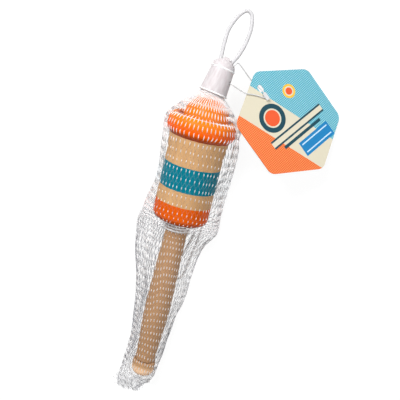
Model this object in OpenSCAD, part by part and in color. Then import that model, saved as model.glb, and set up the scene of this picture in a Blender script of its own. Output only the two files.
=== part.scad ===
// Wooden cup and ball game, packed in a net bag with a moulded header and a card tag.
// It lies on a surface: +Z is up, +Y runs along the toy towards the hanging loop, and the
// origin is on the surface, straight below the rolled rim. All lengths are in millimetres.

/* [Cup] */
// Height of the cup, from the rim plane to its underside
cup_h = 69.5; // [60:0.5:80]
// Diameter over the rolled rim
rim_d = 44; // [42:1:50]
// Height of the rolled rim
rim_h = 13.5; // [12.5:0.1:16]
// Radius of the round on top of the rim
rim_top_round = 6.4; // [4:0.2:7]
// Radius of the round under the rim
rim_low_round = 5.6; // [4:0.2:6]
// Diameter of the body where it meets the rim
body_top_d = 38.2; // [37:0.2:40]
// Diameter of the body at its waist and base
body_d = 36.4; // [35:0.2:37]
// Radius of the rounded edge at the base
base_round = 4.6; // [3:0.2:6]
// Diameter of the dish's mouth
dish_d = 34; // [33:0.2:35]
// Depth of the dish
dish_h = 16; // [15.4:0.2:17]

/* [Handle] */
// Visible length of the handle, from the cup to the end of the pommel
handle_l = 115.2; // [100:0.2:130]
// Diameter of the neck under the cup
neck_d = 14.5; // [13:0.25:15.5]
// Diameter of the handle at its thickest
grip_d = 17; // [15.5:0.25:18]
// Diameter of the waist above the pommel
waist_d = 13.6; // [12:0.2:14.4]
// Diameter of the pommel
pommel_d = 15.6; // [15:0.2:17]
// Length of the pommel
pommel_l = 11; // [10:0.2:13]
// Diameter of the tenon glued into the cup
tenon_d = 11; // [9:0.5:12]
// Length of the tenon
tenon_l = 20; // [14:1:24]
// Radius of the dowel hole's glue gap
glue_gap = 0.1; // [0.05:0.05:0.2]

/* [Ball] */
// Diameter of the ball
ball_d = 29; // [28:0.2:29.4]
// Diameter of the hole drilled through the ball
ball_bore_d = 2.6; // [2.2:0.1:3.4]
// Diameter of the hollow that takes the knot
knot_seat_d = 6; // [5.5:0.25:7]
// Depth of the hollow that takes the knot
knot_seat_h = 5; // [4.6:0.2:6]

/* [String] */
// Diameter of the string
string_d = 1.4; // [1.2:0.1:1.6]
// Diameter of the knot in the ball
knot_d = 4.4; // [4:0.1:5]
// Turns of string round the neck
tie_turns = 3; // [2:1:4]
// Distance between two turns round the neck
tie_pitch = 1.9; // [1.85:0.05:2.4]

/* [Net bag] */
// Thickness of the net's skin with its knots
net_t = 0.6; // [0.5:0.05:0.8]
// Gap between the net and the toy
net_gap = 0.35; // [0.3:0.05:0.5]
// Length of the gathered tail past the pommel
tail_l = 18.3; // [14:0.1:22]
// Half width of the gathered end
tail_w = 6.4; // [4:0.2:8]
// Length of net held inside the header
net_grip = 6.6; // [5:0.2:7.4]
// Depth that the resting net is pressed flat
net_flat = 0.5; // [0.4:0.1:0.7]

/* [Header] */
// Diameter of the header's lower edge
skirt_d = 17.4; // [16.4:0.2:19]
// Diameter of the header's upper edge
skirt_top_d = 14.7; // [13.8:0.1:16]
// Height of the header's skirt
skirt_h = 16.3; // [14:0.5:19]
// Height of the dome on the skirt
dome_h = 6.4; // [5:0.2:8]
// Thickness of the header's wall
header_t = 1; // [0.8:0.1:1.2]
// Radius of the ridge rings round both edges of the skirt
ridge_r = 0.45; // [0.3:0.05:0.6]
// Gap between the top of the ball and the header's lower edge
header_clear = 1.4; // [1.2:0.1:3]
// Width of the block between the legs of the hanging loop
saddle_w = 3.8; // [3:0.2:4.4]
// Height of the plug that jams the net in the header
plug_h = 6.4; // [5:0.2:7.2]

/* [Hanging loop] */
// Length of the hanging loop outside the header
loop_l = 37; // [30:1:44]
// Width over the hanging loop
loop_w = 15.4; // [13:0.2:19]
// Diameter of the loop's strand
loop_d = 2.4; // [2:0.1:2.8]
// Distance between the two legs where they leave the header
leg_gap = 7.5; // [7.2:0.1:8.4]
// Diameter of the foot on each leg inside the header
foot_d = 3.2; // [2.8:0.1:3.6]
// Thickness of each foot
foot_h = 1.2; // [0.8:0.1:1.6]

/* [Tag] */
// Width of the six-sided tag across its flats
tag_w = 65.4; // [56:0.2:66]
// Thickness of the card
tag_t = 0.5; // [0.4:0.1:0.7]
// Radius of the tag's rounded corners
tag_round = 6; // [4:0.5:9]
// Width of the hole in the tag
tag_hole_w = 3.4; // [3:0.1:4]
// Length of the hole in the tag
tag_hole_l = 4.6; // [4.2:0.1:6]
// Distance of the hole from the tag's centre
tag_hole_y = 27.5; // [26:0.1:28]
// Diameter of the plastic fastener strand
pin_d = 0.8; // [0.7:0.05:0.9]
// Width of the fastener's lock
lock_w = 2.4; // [2:0.1:3]
// Length of the fastener's lock
lock_l = 5; // [4:0.2:6]
// Thickness of the fastener's lock
lock_t = 1.4; // [1.2:0.1:1.8]

/* [Hidden] */
$fn = 64;

// Overrun of a cut past the face that it opens
cut = 0.5;
// Points along a rounded stretch of an outline
arc_steps = 8;

// Radii of the turned pieces; the rim always stands out past the body by the step
rim_step = 2.9;
body_top_r = body_top_d / 2;
rim_r = max(rim_d / 2, body_top_r + rim_step);
body_r = body_d / 2;
dish_r = dish_d / 2;
ball_r = ball_d / 2;
neck_r = neck_d / 2;
grip_r = grip_d / 2;
waist_r = waist_d / 2;
pommel_r = pommel_d / 2;
tenon_r = tenon_d / 2;
string_r = string_d / 2;

// Small shapes on the cup: the lip round the dish and the flare under the rim
lip_r = 0.9;
flare_l = 14;
// Small shapes on the handle: the tenon's chamfer, the bead and the flat end of the pommel
tenon_chamfer = 0.8;
pommel_bead = 1.6;
pommel_end_r = 3.4;
grip_place_share = 0.62;

// Lying on its side, the toy touches the net under the rim's lower edge, and under the base's
// edge or the pommel, whichever comes down first
rest_h = net_t + net_gap;
contact_share = 0.9;
contact_l = rim_top_round + contact_share * (rim_h - rim_top_round - rim_low_round);
base_tilt = atan((rim_r - body_r) / (cup_h - base_round - contact_l));
pommel_tilt = atan((rim_r - pommel_r) / (cup_h + handle_l - pommel_l / 2 - contact_l));
lie_tilt = min(base_tilt, pommel_tilt);
axis_rise = rim_r + rest_h;

// A point of the toy's own frame (z along the toy, 0 at the rim plane) as it lies
function lay_point(p) =
    let (along = p.z + contact_l, down = p.y)
    [p.x,
     along * cos(lie_tilt) + down * sin(lie_tilt),
     axis_rise + along * sin(lie_tilt) - down * cos(lie_tilt)];

// Seat of the ball: it leans on the dish's wall, to the right and down
seat_gap = 0.3;
dish_sphere_r = (dish_r * dish_r + dish_h * dish_h) / (2 * dish_h);
dish_rise = dish_sphere_r - dish_h;
ball_room = dish_sphere_r - ball_r - seat_gap;
ball_lean = 40;
ball_turn = 34;
ball_place = [
    ball_room * sin(ball_lean) * cos(ball_turn),
    ball_room * sin(ball_lean) * sin(ball_turn),
    dish_rise - ball_room * cos(ball_lean),
];
ball_at = lay_point(ball_place);

// Route of the string, from the ball over the rim, down inside the net, along the handle and
// back up to the neck. Side and height are shares of the rim's radius, the place along is a
// share of the header's reach over the rim and of the cup's height under it.
header_reach = ball_place.z + ball_r + header_clear;
string_shares = [
    [0.636, 0.69, 1.295], [0.7, 0.716, 1.323], [0.791, 0.677, 1.291], [0.895, 0.565, 1.227],
    [0.995, 0.401, 1.173], [1.045, 0.197, 1.136], [1.055, 0, 1.109], [1.055, -0.058, 1.073],
    [1.055, -0.124, 1], [1.055, -0.219, 0.836], [1.027, -0.328, 0.591], [0.945, -0.452, 0.364],
    [0.836, -0.576, 0.218], [0.755, -0.712, 0.164], [0.727, -0.849, 0.145], [0.718, -0.986, 0.118],
    [0.682, -1.122, 0.109], [0.618, -1.266, 0.109], [0.555, -1.41, 0.109], [0.473, -1.511, 0.109],
    [0.3, -1.54, 0.109], [0.191, -1.489, 0.109], [0.245, -1.367, 0.109], [0.382, -1.237, 0.136],
    [0.491, -1.114, 0.245], [0.536, -1.016, 0.455], [0.518, -0.955, 0.664], [0.464, -0.935, 0.773],
];
string_route = [for (p = string_shares) [p.x * rim_r, p.y * (p.y < 0 ? cup_h : header_reach), p.z * rim_r]];
string_steps = 3;
string_sides = 8;
core_gap = 0.2;
bore_dir = (string_route[0] - ball_at) / norm(string_route[0] - ball_at);

// The winding on the neck starts this far under the cup
tie_start = 1.8;
tie_gap = 0.15;
tie_sides = 6;
turn_steps = 24;
tie_knot_d = 3.4;
tie_angle = -14;

// Place and lean of the header, gathered from the top of the ball
header_side = 1.6;
header_yaw = 8.5;
header_pitch = -5;
header_at = lay_point([header_side, 0, header_reach]);
skirt_r = skirt_d / 2;
skirt_top_r = skirt_top_d / 2;
fit_gap = 0.3;
leg_x = leg_gap / 2;
function header_point(p) =
    let (a = header_pitch - 90, y1 = p.y * cos(a) - p.z * sin(a), z1 = p.y * sin(a) + p.z * cos(a))
    header_at + [p.x * cos(header_yaw) + y1 * sin(header_yaw),
                 -p.x * sin(header_yaw) + y1 * cos(header_yaw),
                 z1];
function skirt_wall_r(z) = skirt_r + (skirt_top_r - skirt_r) * z / skirt_h;

// Place of the tag: its far edge is on the surface and its near corner leans on the bag
tag_tilt = 30;
tag_yaw = 50;
tag_lift = 0.2;
tag_side_share = 2.9;
tag_tuck_share = 0.1713;
tag_along = 17.7;
tag_hole_x = -3.8;
tag_corner_r = tag_w / (2 * cos(30));
tag_at = [tag_side_share * rim_r - tag_tuck_share * tag_w, tag_along, tag_lift + (tag_w * sin(tag_tilt) + tag_t * cos(tag_tilt)) / 2];
function tag_point(p) =
    let (x1 = p.x * cos(tag_tilt) + p.z * sin(tag_tilt), z1 = -p.x * sin(tag_tilt) + p.z * cos(tag_tilt))
    tag_at + [x1 * cos(tag_yaw) - p.y * sin(tag_yaw), x1 * sin(tag_yaw) + p.y * cos(tag_yaw), z1];

// Points of a circle's or an ellipse's arc, in a plane
function arc(c, rx, ry, from, to, steps) =
    [for (i = [0:steps]) let (a = from + (to - from) * i / steps) [c.x + rx * cos(a), c.y + ry * sin(a)]];
function ease(t) = (1 - cos(180 * t)) / 2;
function unit(v) = v / norm(v);

// A smooth curve through points, with a number of steps between two of them
function curve_point(a, b, c, d, t) =
    (2 * b + (c - a) * t + (2 * a - 5 * b + 4 * c - d) * t * t + (3 * b - a - 3 * c + d) * t * t * t) / 2;
function curve(p, steps) =
    let (n = len(p))
    concat(
        [for (i = [0:n - 2], k = [0:steps - 1])
            curve_point(p[max(i - 1, 0)], p[i], p[i + 1], p[min(i + 2, n - 1)], k / steps)],
        [p[n - 1]]);
function closed_curve(p, steps) =
    let (n = len(p))
    [for (i = [0:n - 1], k = [0:steps - 1])
        curve_point(p[(i + n - 1) % n], p[i], p[(i + 1) % n], p[(i + 2) % n], k / steps)];

// Directions along a path, and side vectors that turn with it without twisting
function path_dirs(p) =
    let (n = len(p)) [for (i = [0:n - 1]) unit(p[min(i + 1, n - 1)] - p[max(i - 1, 0)])];
function side_of(v, d) = unit(v - (v * d) * d);
function first_side(d) = side_of(abs(d.z) < sin(45) ? [0, 0, 1] : [1, 0, 0], d);
function path_sides(dirs, i = 0, side = undef, out = []) =
    i == len(dirs) ? out
    : let (s = i == 0 ? first_side(dirs[0]) : side_of(side, dirs[i]))
      path_sides(dirs, i + 1, s, concat(out, [s]));

// A round tube along a path with flat ends square to it
module tube(path, r, sides) {
    dirs = path_dirs(path);
    sv = path_sides(dirs);
    n = len(path);
    pts = [for (i = [0:n - 1], k = [0:sides - 1])
        let (a = 360 * k / sides, w = cross(dirs[i], sv[i])) path[i] + r * (cos(a) * sv[i] + sin(a) * w)];
    ring_faces = [for (i = [0:n - 2], k = [0:sides - 1])
        let (a = i * sides + k, b = i * sides + (k + 1) % sides)
        each [[a, a + sides, b], [b, a + sides, b + sides]]];
    polyhedron(pts, concat(ring_faces,
        [[for (k = [0:sides - 1]) k]], [[for (k = [sides - 1:-1:0]) (n - 1) * sides + k]]));
}

// A tube along a closed path: the small twist left at the end is shared out along it
module closed_tube(path, r, sides) {
    n = len(path);
    dirs = [for (i = [0:n - 1]) unit(path[(i + 1) % n] - path[(i + n - 1) % n])];
    sv = path_sides(dirs);
    last = side_of(sv[n - 1], dirs[0]);
    twist = atan2(last * cross(dirs[0], sv[0]), last * sv[0]);
    pts = [for (i = [0:n - 1], k = [0:sides - 1])
        let (a = 360 * k / sides - twist * i / n, w = cross(dirs[i], sv[i]))
        path[i] + r * (cos(a) * sv[i] + sin(a) * w)];
    polyhedron(pts, [for (i = [0:n - 1], k = [0:sides - 1])
        let (j = (i + 1) % n, a = i * sides + k, b = i * sides + (k + 1) % sides,
             c = j * sides + k, d = j * sides + (k + 1) % sides)
        each [[a, c, b], [b, c, d]]]);
}

// Turns children from the toy's own frame to where the toy lies
module lay() {
    translate([0, 0, axis_rise]) rotate([lie_tilt, 0, 0]) translate([0, contact_l, 0]) rotate([-90, 0, 0])
        children();
}
module on_header() {
    translate(header_at) rotate([header_pitch - 90, 0, -header_yaw]) children();
}
module on_tag() {
    translate(tag_at) rotate([0, tag_tilt, tag_yaw]) children();
}
// Points the z axis of children along a direction
module along(d) {
    rotate([0, acos(d.z), atan2(d.y, d.x)]) children();
}

// One turned outline: dish, lip, rolled rim, flared body, rounded base and blind tenon hole
module cup() {
    dish_edge = asin(dish_r / dish_sphere_r);
    crest_r = dish_r + lip_r;
    low_end = acos((body_top_r - rim_r + rim_low_round) / rim_low_round);
    low_z = -(rim_h - rim_low_round);
    flare_top = low_z - rim_low_round * sin(low_end);
    hole_r = tenon_r + glue_gap;
    outline = concat(
        arc([0, dish_rise], dish_sphere_r, dish_sphere_r, -90, dish_edge - 90 - 2, 2 * arc_steps),
        arc([crest_r, -lip_r], lip_r, lip_r, 180, 90, 4),
        arc([crest_r, -rim_top_round], rim_r - crest_r, rim_top_round, 80, 0, arc_steps),
        arc([rim_r - rim_low_round, low_z], rim_low_round, rim_low_round, 0, -low_end, arc_steps),
        [for (i = [1:arc_steps]) let (t = i / arc_steps)
            [body_top_r + (body_r - body_top_r) * ease(t), flare_top - flare_l * t]],
        arc([body_r - base_round, base_round - cup_h], base_round, base_round, 0, -90, arc_steps),
        [[hole_r, -cup_h], [hole_r, tenon_l + glue_gap - cup_h], [0, tenon_l + glue_gap - cup_h]]);
    color("darkorange") lay() rotate_extrude() polygon(outline);
}

// Radius of the handle at a share of its length above the pommel
function grip_at(t) =
    t < grip_place_share
        ? neck_r + (grip_r - neck_r) * ease(t / grip_place_share)
        : grip_r + (waist_r - grip_r) * ease((t - grip_place_share) / (1 - grip_place_share));

module handle() {
    shank_l = handle_l - pommel_l;
    pommel_top = -cup_h - shank_l;
    outline = concat(
        [[0, tenon_l - cup_h], [tenon_r - tenon_chamfer, tenon_l - cup_h],
         [tenon_r, tenon_l - tenon_chamfer - cup_h], [tenon_r, -cup_h]],
        [for (i = [0:3 * arc_steps]) let (t = i / (3 * arc_steps)) [grip_at(t), -cup_h - shank_l * t]],
        arc([pommel_r - pommel_bead, pommel_top - pommel_bead], pommel_bead, pommel_bead, 90, 0, arc_steps),
        arc([pommel_end_r, pommel_top - pommel_l / 2], pommel_r - pommel_end_r, pommel_l / 2,
            0, -90, 2 * arc_steps),
        [[0, pommel_top - pommel_l]]);
    color("burlywood") lay() rotate_extrude() polygon(outline);
}

module ball() {
    color("orangered") difference() {
        translate(ball_at) sphere(ball_r);
        translate(ball_at) along(bore_dir) {
            translate([0, 0, -ball_r - cut]) cylinder(h = ball_d + 2 * cut, d = ball_bore_d);
            translate([0, 0, -ball_r - cut]) cylinder(h = knot_seat_h + cut, d = knot_seat_d);
        }
    }
}

// The string's own end: a knot in the hollow and the straight stretch through the ball
module ball_knot() {
    knot_z = knot_seat_h - core_gap - knot_d / 2 - ball_r;
    color("white") translate(ball_at) along(bore_dir) union() {
        translate([0, 0, knot_z]) sphere(d = knot_d);
        translate([0, 0, knot_z])
            cylinder(h = norm(string_route[0] - ball_at) - core_gap - knot_z, r = string_r);
    }
}

string_path = curve(string_route, string_steps);
string_end = string_path[len(string_path) - 1];
tie_lead = unit(string_end - string_path[len(string_path) - 2]);
module string() {
    color("white") tube(string_path, string_r, string_sides);
}

// Turns of string round the neck, in one tube that leads to the end of the free string
function tie_point(t) =
    let (s = tie_start + tie_pitch * t, a = tie_angle - 360 * t,
         r = grip_at(s / (handle_l - pommel_l)) + string_r + tie_gap)
    lay_point([r * cos(a), r * sin(a), -cup_h - s]);
tie_path = [for (i = [0:tie_turns * turn_steps]) tie_point(i / turn_steps)];
tie_self_gap = min([for (i = [0:(tie_turns - 1) * turn_steps]) norm(tie_path[i + turn_steps] - tie_path[i])])
    - string_d;
echo(least_gap_between_turns_mm = tie_self_gap);
tie_knot_at = lay_point([
    (neck_r + tie_gap + tie_knot_d / 2) * cos(tie_angle + 4),
    (neck_r + tie_gap + tie_knot_d / 2) * sin(tie_angle + 4),
    -cup_h - tie_start - string_d / 2]);
module neck_tie() {
    color("white") union() {
        tube(concat([string_end + core_gap * tie_lead, string_end + string_d * tie_lead], tie_path),
            string_r, tie_sides);
        translate(tie_knot_at) sphere(d = tie_knot_d, $fn = 24);
    }
}

// The net's rings: three in the header, one round the gather, then one at each place below.
// Reach to the left and right are shares of the rim's radius.
net_slip = 0.12;
net_sides = 28;
net_steps = 2;
skin = net_gap + net_t;
gather_place_share = -0.19;
gather_reach_share = 0.5;
gather_drop = 1.1;
cone_place_shares = [0.54, 0.28, 0.03];
cone_left_shares = [0.64, 0.825, 0.98];
cone_right_shares = [0.68, 0.865, 1.025];
cup_place_shares = [0.05, 0.105, 0.23, 0.45, 0.7, 0.86, 0.945, 1.005];
cup_left_shares = [1.09, 1.1, 1.08, 1.01, 0.985, 1.09, 1.15, 1.2];
cup_right_shares = [1.13, 1.145, 1.205, 1.235, 1.16, 1.22, 1.225, 1.225];
cup_belly_shares = [1, 1, 1, 0.95, 0.9, 0.85, 0.8, 0.7];
handle_place_shares = [0.06, 0.145, 0.256, 0.453, 0.641, 0.795, 0.9, 0.965, 1.045];
handle_left_shares = [1.25, 1.22, 1.17, 0.905, 0.72, 0.68, 0.68, 0.7, 0.74];
handle_right_shares = [1.21, 1.01, 0.85, 0.805, 0.645, 0.545, 0.5, 0.46, 0.36];
handle_up_powers = [1.05, 1.05, 1.05, 1.05, 1, 0.95, 0.85, 0.8, 0.8];
handle_fall_powers = [1.2, 1.9, 2.3, 1.8, 1.45, 1.25, 1, 0.8, 0.8];
handle_belly_shares = [0.52, 0.42, 0.4, 0.4, 0.4, 0.4, 0.4, 0.4, 0.4];
tail_side_share = -0.455;

// Height of the net over the toy's axis, at a share of the cup or of the handle
function cup_cover(t) =
    t < 0.9 ? rim_r + (body_r - rim_r) * max(0, t - 0.18) / 0.76
    : body_r - base_round * pow(max(0, t - 0.945) / 0.06, 2) * 0.22;
function handle_cover(t) =
    t < 0.1 ? neck_r + tie_gap + 2 * string_d
    : t < 0.9 ? max(grip_at(min(1, t * handle_l / (handle_l - pommel_l))), waist_r + 1.2 * string_d)
    : t < 1 ? pommel_r + rest_h / 4
    : 0.6 * pommel_r;

function sgn_pow(v, p) = sign(v) * pow(abs(v), p);
// One ring across the bag: its reach left and right, height of top and belly, and its depth. A
// fall power over 1 draws the net in over the toy and lets it fall to flat wings.
function net_ring(z, left, right, top, belly, low, up_power, low_power, inset, fall_power = undef) =
    let (c = lay_point([0, 0, z]))
    [for (k = [0:net_sides - 1])
        let (a = 360 * k / net_sides, up = sin(a) > 0, p = up ? up_power : low_power,
             q = up && !is_undef(fall_power) ? fall_power : p,
             w = (cos(a) > 0 ? right : left) - inset, h = (up ? top - belly : belly - low) - inset)
        [w * sgn_pow(cos(a), p), c.y, max(inset, belly + h * sgn_pow(sin(a), q))]];
function header_ring(z, r, drop = 0) =
    [for (k = [0:net_sides - 1]) let (a = 360 * k / net_sides) header_point([r * cos(a), drop - r * sin(a), z])];
function axis_z(z) = lay_point([0, 0, z]).z;
function cone_ring(i, inset) =
    let (z = cone_place_shares[i] * header_reach, c = axis_z(z),
         l = cone_left_shares[i] * rim_r, r = cone_right_shares[i] * rim_r, h = (l + r) / 2)
    net_ring(z, l, r, c + h, c, c - 1.06 * h, 1, 1, inset);
function cup_ring(i, inset) =
    let (t = cup_place_shares[i], z = -t * cup_h, c = axis_z(z))
    net_ring(z, cup_left_shares[i] * rim_r, cup_right_shares[i] * rim_r, c + cup_cover(t) + skin,
        c * cup_belly_shares[i], -net_flat, 0.88, i == 0 ? 0.9 : 0.72, inset);
function handle_ring(i, inset) =
    let (t = handle_place_shares[i], z = -cup_h - t * handle_l, c = axis_z(z))
    net_ring(z, handle_left_shares[i] * rim_r, handle_right_shares[i] * rim_r,
        c + handle_cover(t) + skin + rest_h / 4, c * handle_belly_shares[i], -net_flat,
        handle_up_powers[i], 0.72, inset, handle_fall_powers[i]);
function net_rings(inset) = concat(
    [for (z = [net_grip, net_grip / 2, 0]) header_ring(z, skirt_wall_r(z) - header_t - net_slip - inset)],
    [header_ring(gather_place_share * header_reach, gather_reach_share * rim_r - inset, gather_drop)],
    [for (i = [0:len(cone_place_shares) - 1]) cone_ring(i, inset)],
    [for (i = [0:len(cup_place_shares) - 1]) cup_ring(i, inset)],
    [for (i = [0:len(handle_place_shares) - 1]) handle_ring(i, inset)]);
tail_ring = [for (p = net_ring(-cup_h - handle_l - tail_l, tail_w, tail_w, tail_w * 0.9, tail_w * 0.3,
        -net_flat, 1, 0.72, 0)) p + [tail_side_share * rim_r, 0, 0]];

module net_bag() {
    outer = curve(concat(net_rings(0), [tail_ring]), net_steps);
    inner = curve(net_rings(net_t), net_steps);
    n = len(outer);
    m = len(inner);
    first = n * net_sides;
    pts = concat(
        [for (ring = outer, p = ring) [p.x, p.y, max(0, p.z)]],
        [for (ring = inner, p = ring) [p.x, p.y, max(net_t, p.z)]]);
    function skin_faces(start, count, turn) =
        [for (i = [0:count - 2], k = [0:net_sides - 1])
            let (j = (k + 1) % net_sides, a = start + i * net_sides + k, b = start + i * net_sides + j,
                 c = a + net_sides, d = b + net_sides)
            each turn ? [[a, b, c], [b, d, c]] : [[a, c, b], [b, c, d]]];
    color("whitesmoke") polyhedron(pts, concat(
        skin_faces(0, n, false), skin_faces(first, m, true),
        [for (k = [0:net_sides - 1]) let (j = (k + 1) % net_sides) each [[k, j, first + k], [j, first + j, first + k]]],
        [[for (k = [net_sides - 1:-1:0]) (n - 1) * net_sides + k]],
        [[for (k = [0:net_sides - 1]) first + (m - 1) * net_sides + k]]));
}

// Wall of the header from its lower edge over the dome, with a ridge ring round each edge
pin_hole_d = 2.6;
pin_hole_side = 7.15;
pin_hole_rise = 9.3;
pin_top_side = 4.9;
pin_top_rise = 19.8;
pin_lean = -2.9;
header_inner_r = skirt_top_r - header_t;
module header_outside() {
    rotate_extrude() union() {
        polygon(concat([[0, 0], [skirt_r, 0], [skirt_top_r, skirt_h]],
            arc([0, skirt_h], skirt_top_r, dome_h, 0, 90, 2 * arc_steps)));
        translate([skirt_r, ridge_r]) circle(r = ridge_r, $fn = 16);
        translate([skirt_top_r, skirt_h]) circle(r = ridge_r, $fn = 16);
    }
}
module header_hollow() {
    rotate_extrude() polygon(concat(
        [[0, -cut], [skirt_r - header_t, -cut], [skirt_r - header_t, 0], [header_inner_r, skirt_h]],
        arc([0, skirt_h], header_inner_r, dome_h - header_t, 0, 90, 2 * arc_steps)));
}

saddle_deep = 7;
saddle_h = 0.9;
eye_r = 1.7;
eye_hole_r = 0.8;
module header_cap() {
    saddle_top = skirt_h + dome_h + saddle_h;
    color("gainsboro") on_header() difference() {
        union() {
            header_outside();
            translate([0, 0, saddle_top - header_t - 2 * saddle_h]) intersection() {
                translate([-saddle_w / 2, -saddle_deep / 2, 0])
                    cube([saddle_w, saddle_deep, header_t + 2 * saddle_h]);
                rotate([0, 90, 0]) translate([saddle_deep, 0, -saddle_w])
                    cylinder(h = 2 * saddle_w, r = saddle_deep + header_t + 2 * saddle_h);
            }
            translate([-skirt_top_r + eye_r, -header_t / 2, skirt_h + dome_h / 2 - header_t / 2])
                rotate([-90, 0, 0]) cylinder(h = header_t, r = eye_r);
        }
        header_hollow();
        for (s = [-1, 1]) translate([s * leg_x, 0, skirt_h + dome_h / 4])
            cylinder(h = dome_h, d = loop_d + 2 * net_slip);
        translate([-skirt_top_r + eye_r / 2, -header_t, skirt_h + dome_h / 2 + header_t / 2])
            rotate([-90, 0, 0]) cylinder(h = 2 * header_t, r = eye_hole_r);
        translate([pin_hole_side, pin_lean, pin_hole_rise]) rotate([0, 90, atan2(pin_lean, pin_hole_side)])
            cylinder(h = 4 * header_t, d = pin_hole_d, center = true);
        translate([pin_top_side, pin_lean, pin_top_rise]) rotate([0, 52, atan2(pin_lean, pin_top_side)])
            cylinder(h = 4 * header_t, d = pin_hole_d, center = true);
    }
}

// Tapered cup that jams the gathered net against the inside of the skirt
plug_t = 1.2;
plug_rise = 0.25;
module header_plug() {
    low_r = skirt_wall_r(plug_rise) - header_t - net_t - 5 * net_slip;
    high_r = skirt_wall_r(plug_h) - header_t - net_t - 3 * net_slip;
    color("lightgray") on_header() rotate_extrude() polygon([
        [0, plug_rise], [low_r, plug_rise], [high_r, plug_h], [high_r - plug_t, plug_h],
        [low_r - plug_t, plug_rise + plug_t], [0, plug_rise + plug_t]]);
}

// Soft moulded loop: two legs with feet inside the dome and a pear-shaped eye outside
loop_side_shares = [-0.8, -0.92, -0.62, -0.16, 0.28, 0.72, 1.03, 1.06, 0.86];
loop_rise_shares = [0.29, 0.56, 0.81, 0.96, 0.985, 0.9, 0.69, 0.42, 0.19];
loop_droop = 0.045;
module hanging_loop() {
    foot_z = skirt_h + 1.2;
    exit_z = skirt_h + dome_h;
    reach = loop_l - loop_d;
    side = (loop_w - loop_d) / 2;
    eye = [for (i = [0:len(loop_side_shares) - 1])
        [side * loop_side_shares[i], loop_droop * reach * loop_rise_shares[i],
         exit_z - loop_d + reach * loop_rise_shares[i]]];
    path = curve(concat([[-leg_x, 0, exit_z - loop_d / 3]], eye, [[leg_x, 0, exit_z - loop_d / 3]]), 4);
    color("white") on_header() union() {
        tube(concat([[-leg_x, 0, foot_z + foot_h / 2], [-leg_x, 0, exit_z - loop_d]], path,
            [[leg_x, 0, exit_z - loop_d], [leg_x, 0, foot_z + foot_h / 2]]), loop_d / 2, 16);
        for (s = [-1, 1]) translate([s * leg_x, 0, foot_z]) cylinder(h = foot_h, d = foot_d);
    }
}

module tag() {
    corner_at = tag_corner_r - tag_round / cos(30);
    hole_r = tag_hole_w / 2;
    outline = [for (k = [0:5], p = arc([corner_at * cos(60 * k + 30), corner_at * sin(60 * k + 30)],
        tag_round, tag_round, 60 * k, 60 * k + 60, arc_steps)) p];
    color("wheat") on_tag() linear_extrude(tag_t, center = true) difference() {
        polygon(outline);
        translate([tag_hole_x, tag_hole_y + tag_hole_l / 2 - hole_r]) circle(r = hole_r);
        translate([tag_hole_x - hole_r, tag_hole_y - tag_hole_l / 2])
            square([tag_hole_w, tag_hole_l - hole_r]);
    }
}

// Fastener: a strand from the header over the front of the tag, through the lock and the hole,
// and back behind the tag into the dome
pin_r = pin_d / 2;
strand_z = tag_t / 2 + fit_gap + pin_r;
lock_at = [tag_hole_x - 0.7, tag_hole_y - 6.2];
pin_front = [
    [-15.2, 31.2, strand_z], [-11.5, 27.6, strand_z], [-8.2, 24.2, strand_z],
    [-6.4, 22, strand_z + 0.2], [-5.2, 21, strand_z + 0.2], [-4.3, 21.4, strand_z + 0.2],
    [-4.1, 22.8, strand_z + 0.2], [-4.1, 24.6, strand_z + 0.1], [-4, 26.1, strand_z - 0.15],
];
pin_back = [
    [-3.8, 28.9, -strand_z + 0.15], [-3.9, 30.4, -strand_z - 0.1], [-4.4, 32.6, -strand_z - 0.2],
    [-5, 34.8, -strand_z - 0.2],
];
pin_outer = [[14.6, 43, 22.4], [12, 44.5, 23.4]];
pin_inner = [[4.3, pin_lean, 18], [4.4, -2.6, 14.2], [5.2, -2.7, 10.4]];
pin_path = concat(
    [header_point([pin_hole_side, pin_lean, pin_hole_rise]), header_point([pin_hole_side + 2.25, pin_lean - 0.5, pin_hole_rise - 0.2])],
    [for (p = pin_front) tag_point(p)],
    [tag_point([tag_hole_x, tag_hole_y, 0])],
    [for (p = pin_back) tag_point(p)],
    pin_outer,
    [header_point([pin_top_side + 1.2, pin_lean - 0.4, pin_top_rise + 0.9]),
     header_point([pin_top_side, pin_lean, pin_top_rise])],
    [for (p = pin_inner) header_point(p)]);
module tag_loop() {
    color("white") union() {
        closed_tube(closed_curve(pin_path, 3), pin_r, 8);
        on_tag() translate([lock_at.x, lock_at.y, tag_t / 2 + fit_gap + lock_t / 2])
            cube([lock_w, lock_l, lock_t], center = true);
    }
}
echo(swing_at = header_point([pin_hole_side, pin_lean, pin_hole_rise]),
    swing_to = header_point([pin_top_side, pin_lean, pin_top_rise]),
    hole_at = tag_point([tag_hole_x, tag_hole_y, 0]),
    tag_normal = tag_point([0, 0, 1]) - tag_at, ball_at = ball_at, bore_dir = bore_dir);

cup();
handle();
ball();
ball_knot();
string();
neck_tie();
net_bag();
header_cap();
header_plug();
hanging_loop();
tag();
tag_loop();
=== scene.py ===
"""Looks of a wooden cup and ball game in its net bag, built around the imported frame."""

import math

import bpy
import numpy as np
from mathutils import Matrix, Vector


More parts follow.
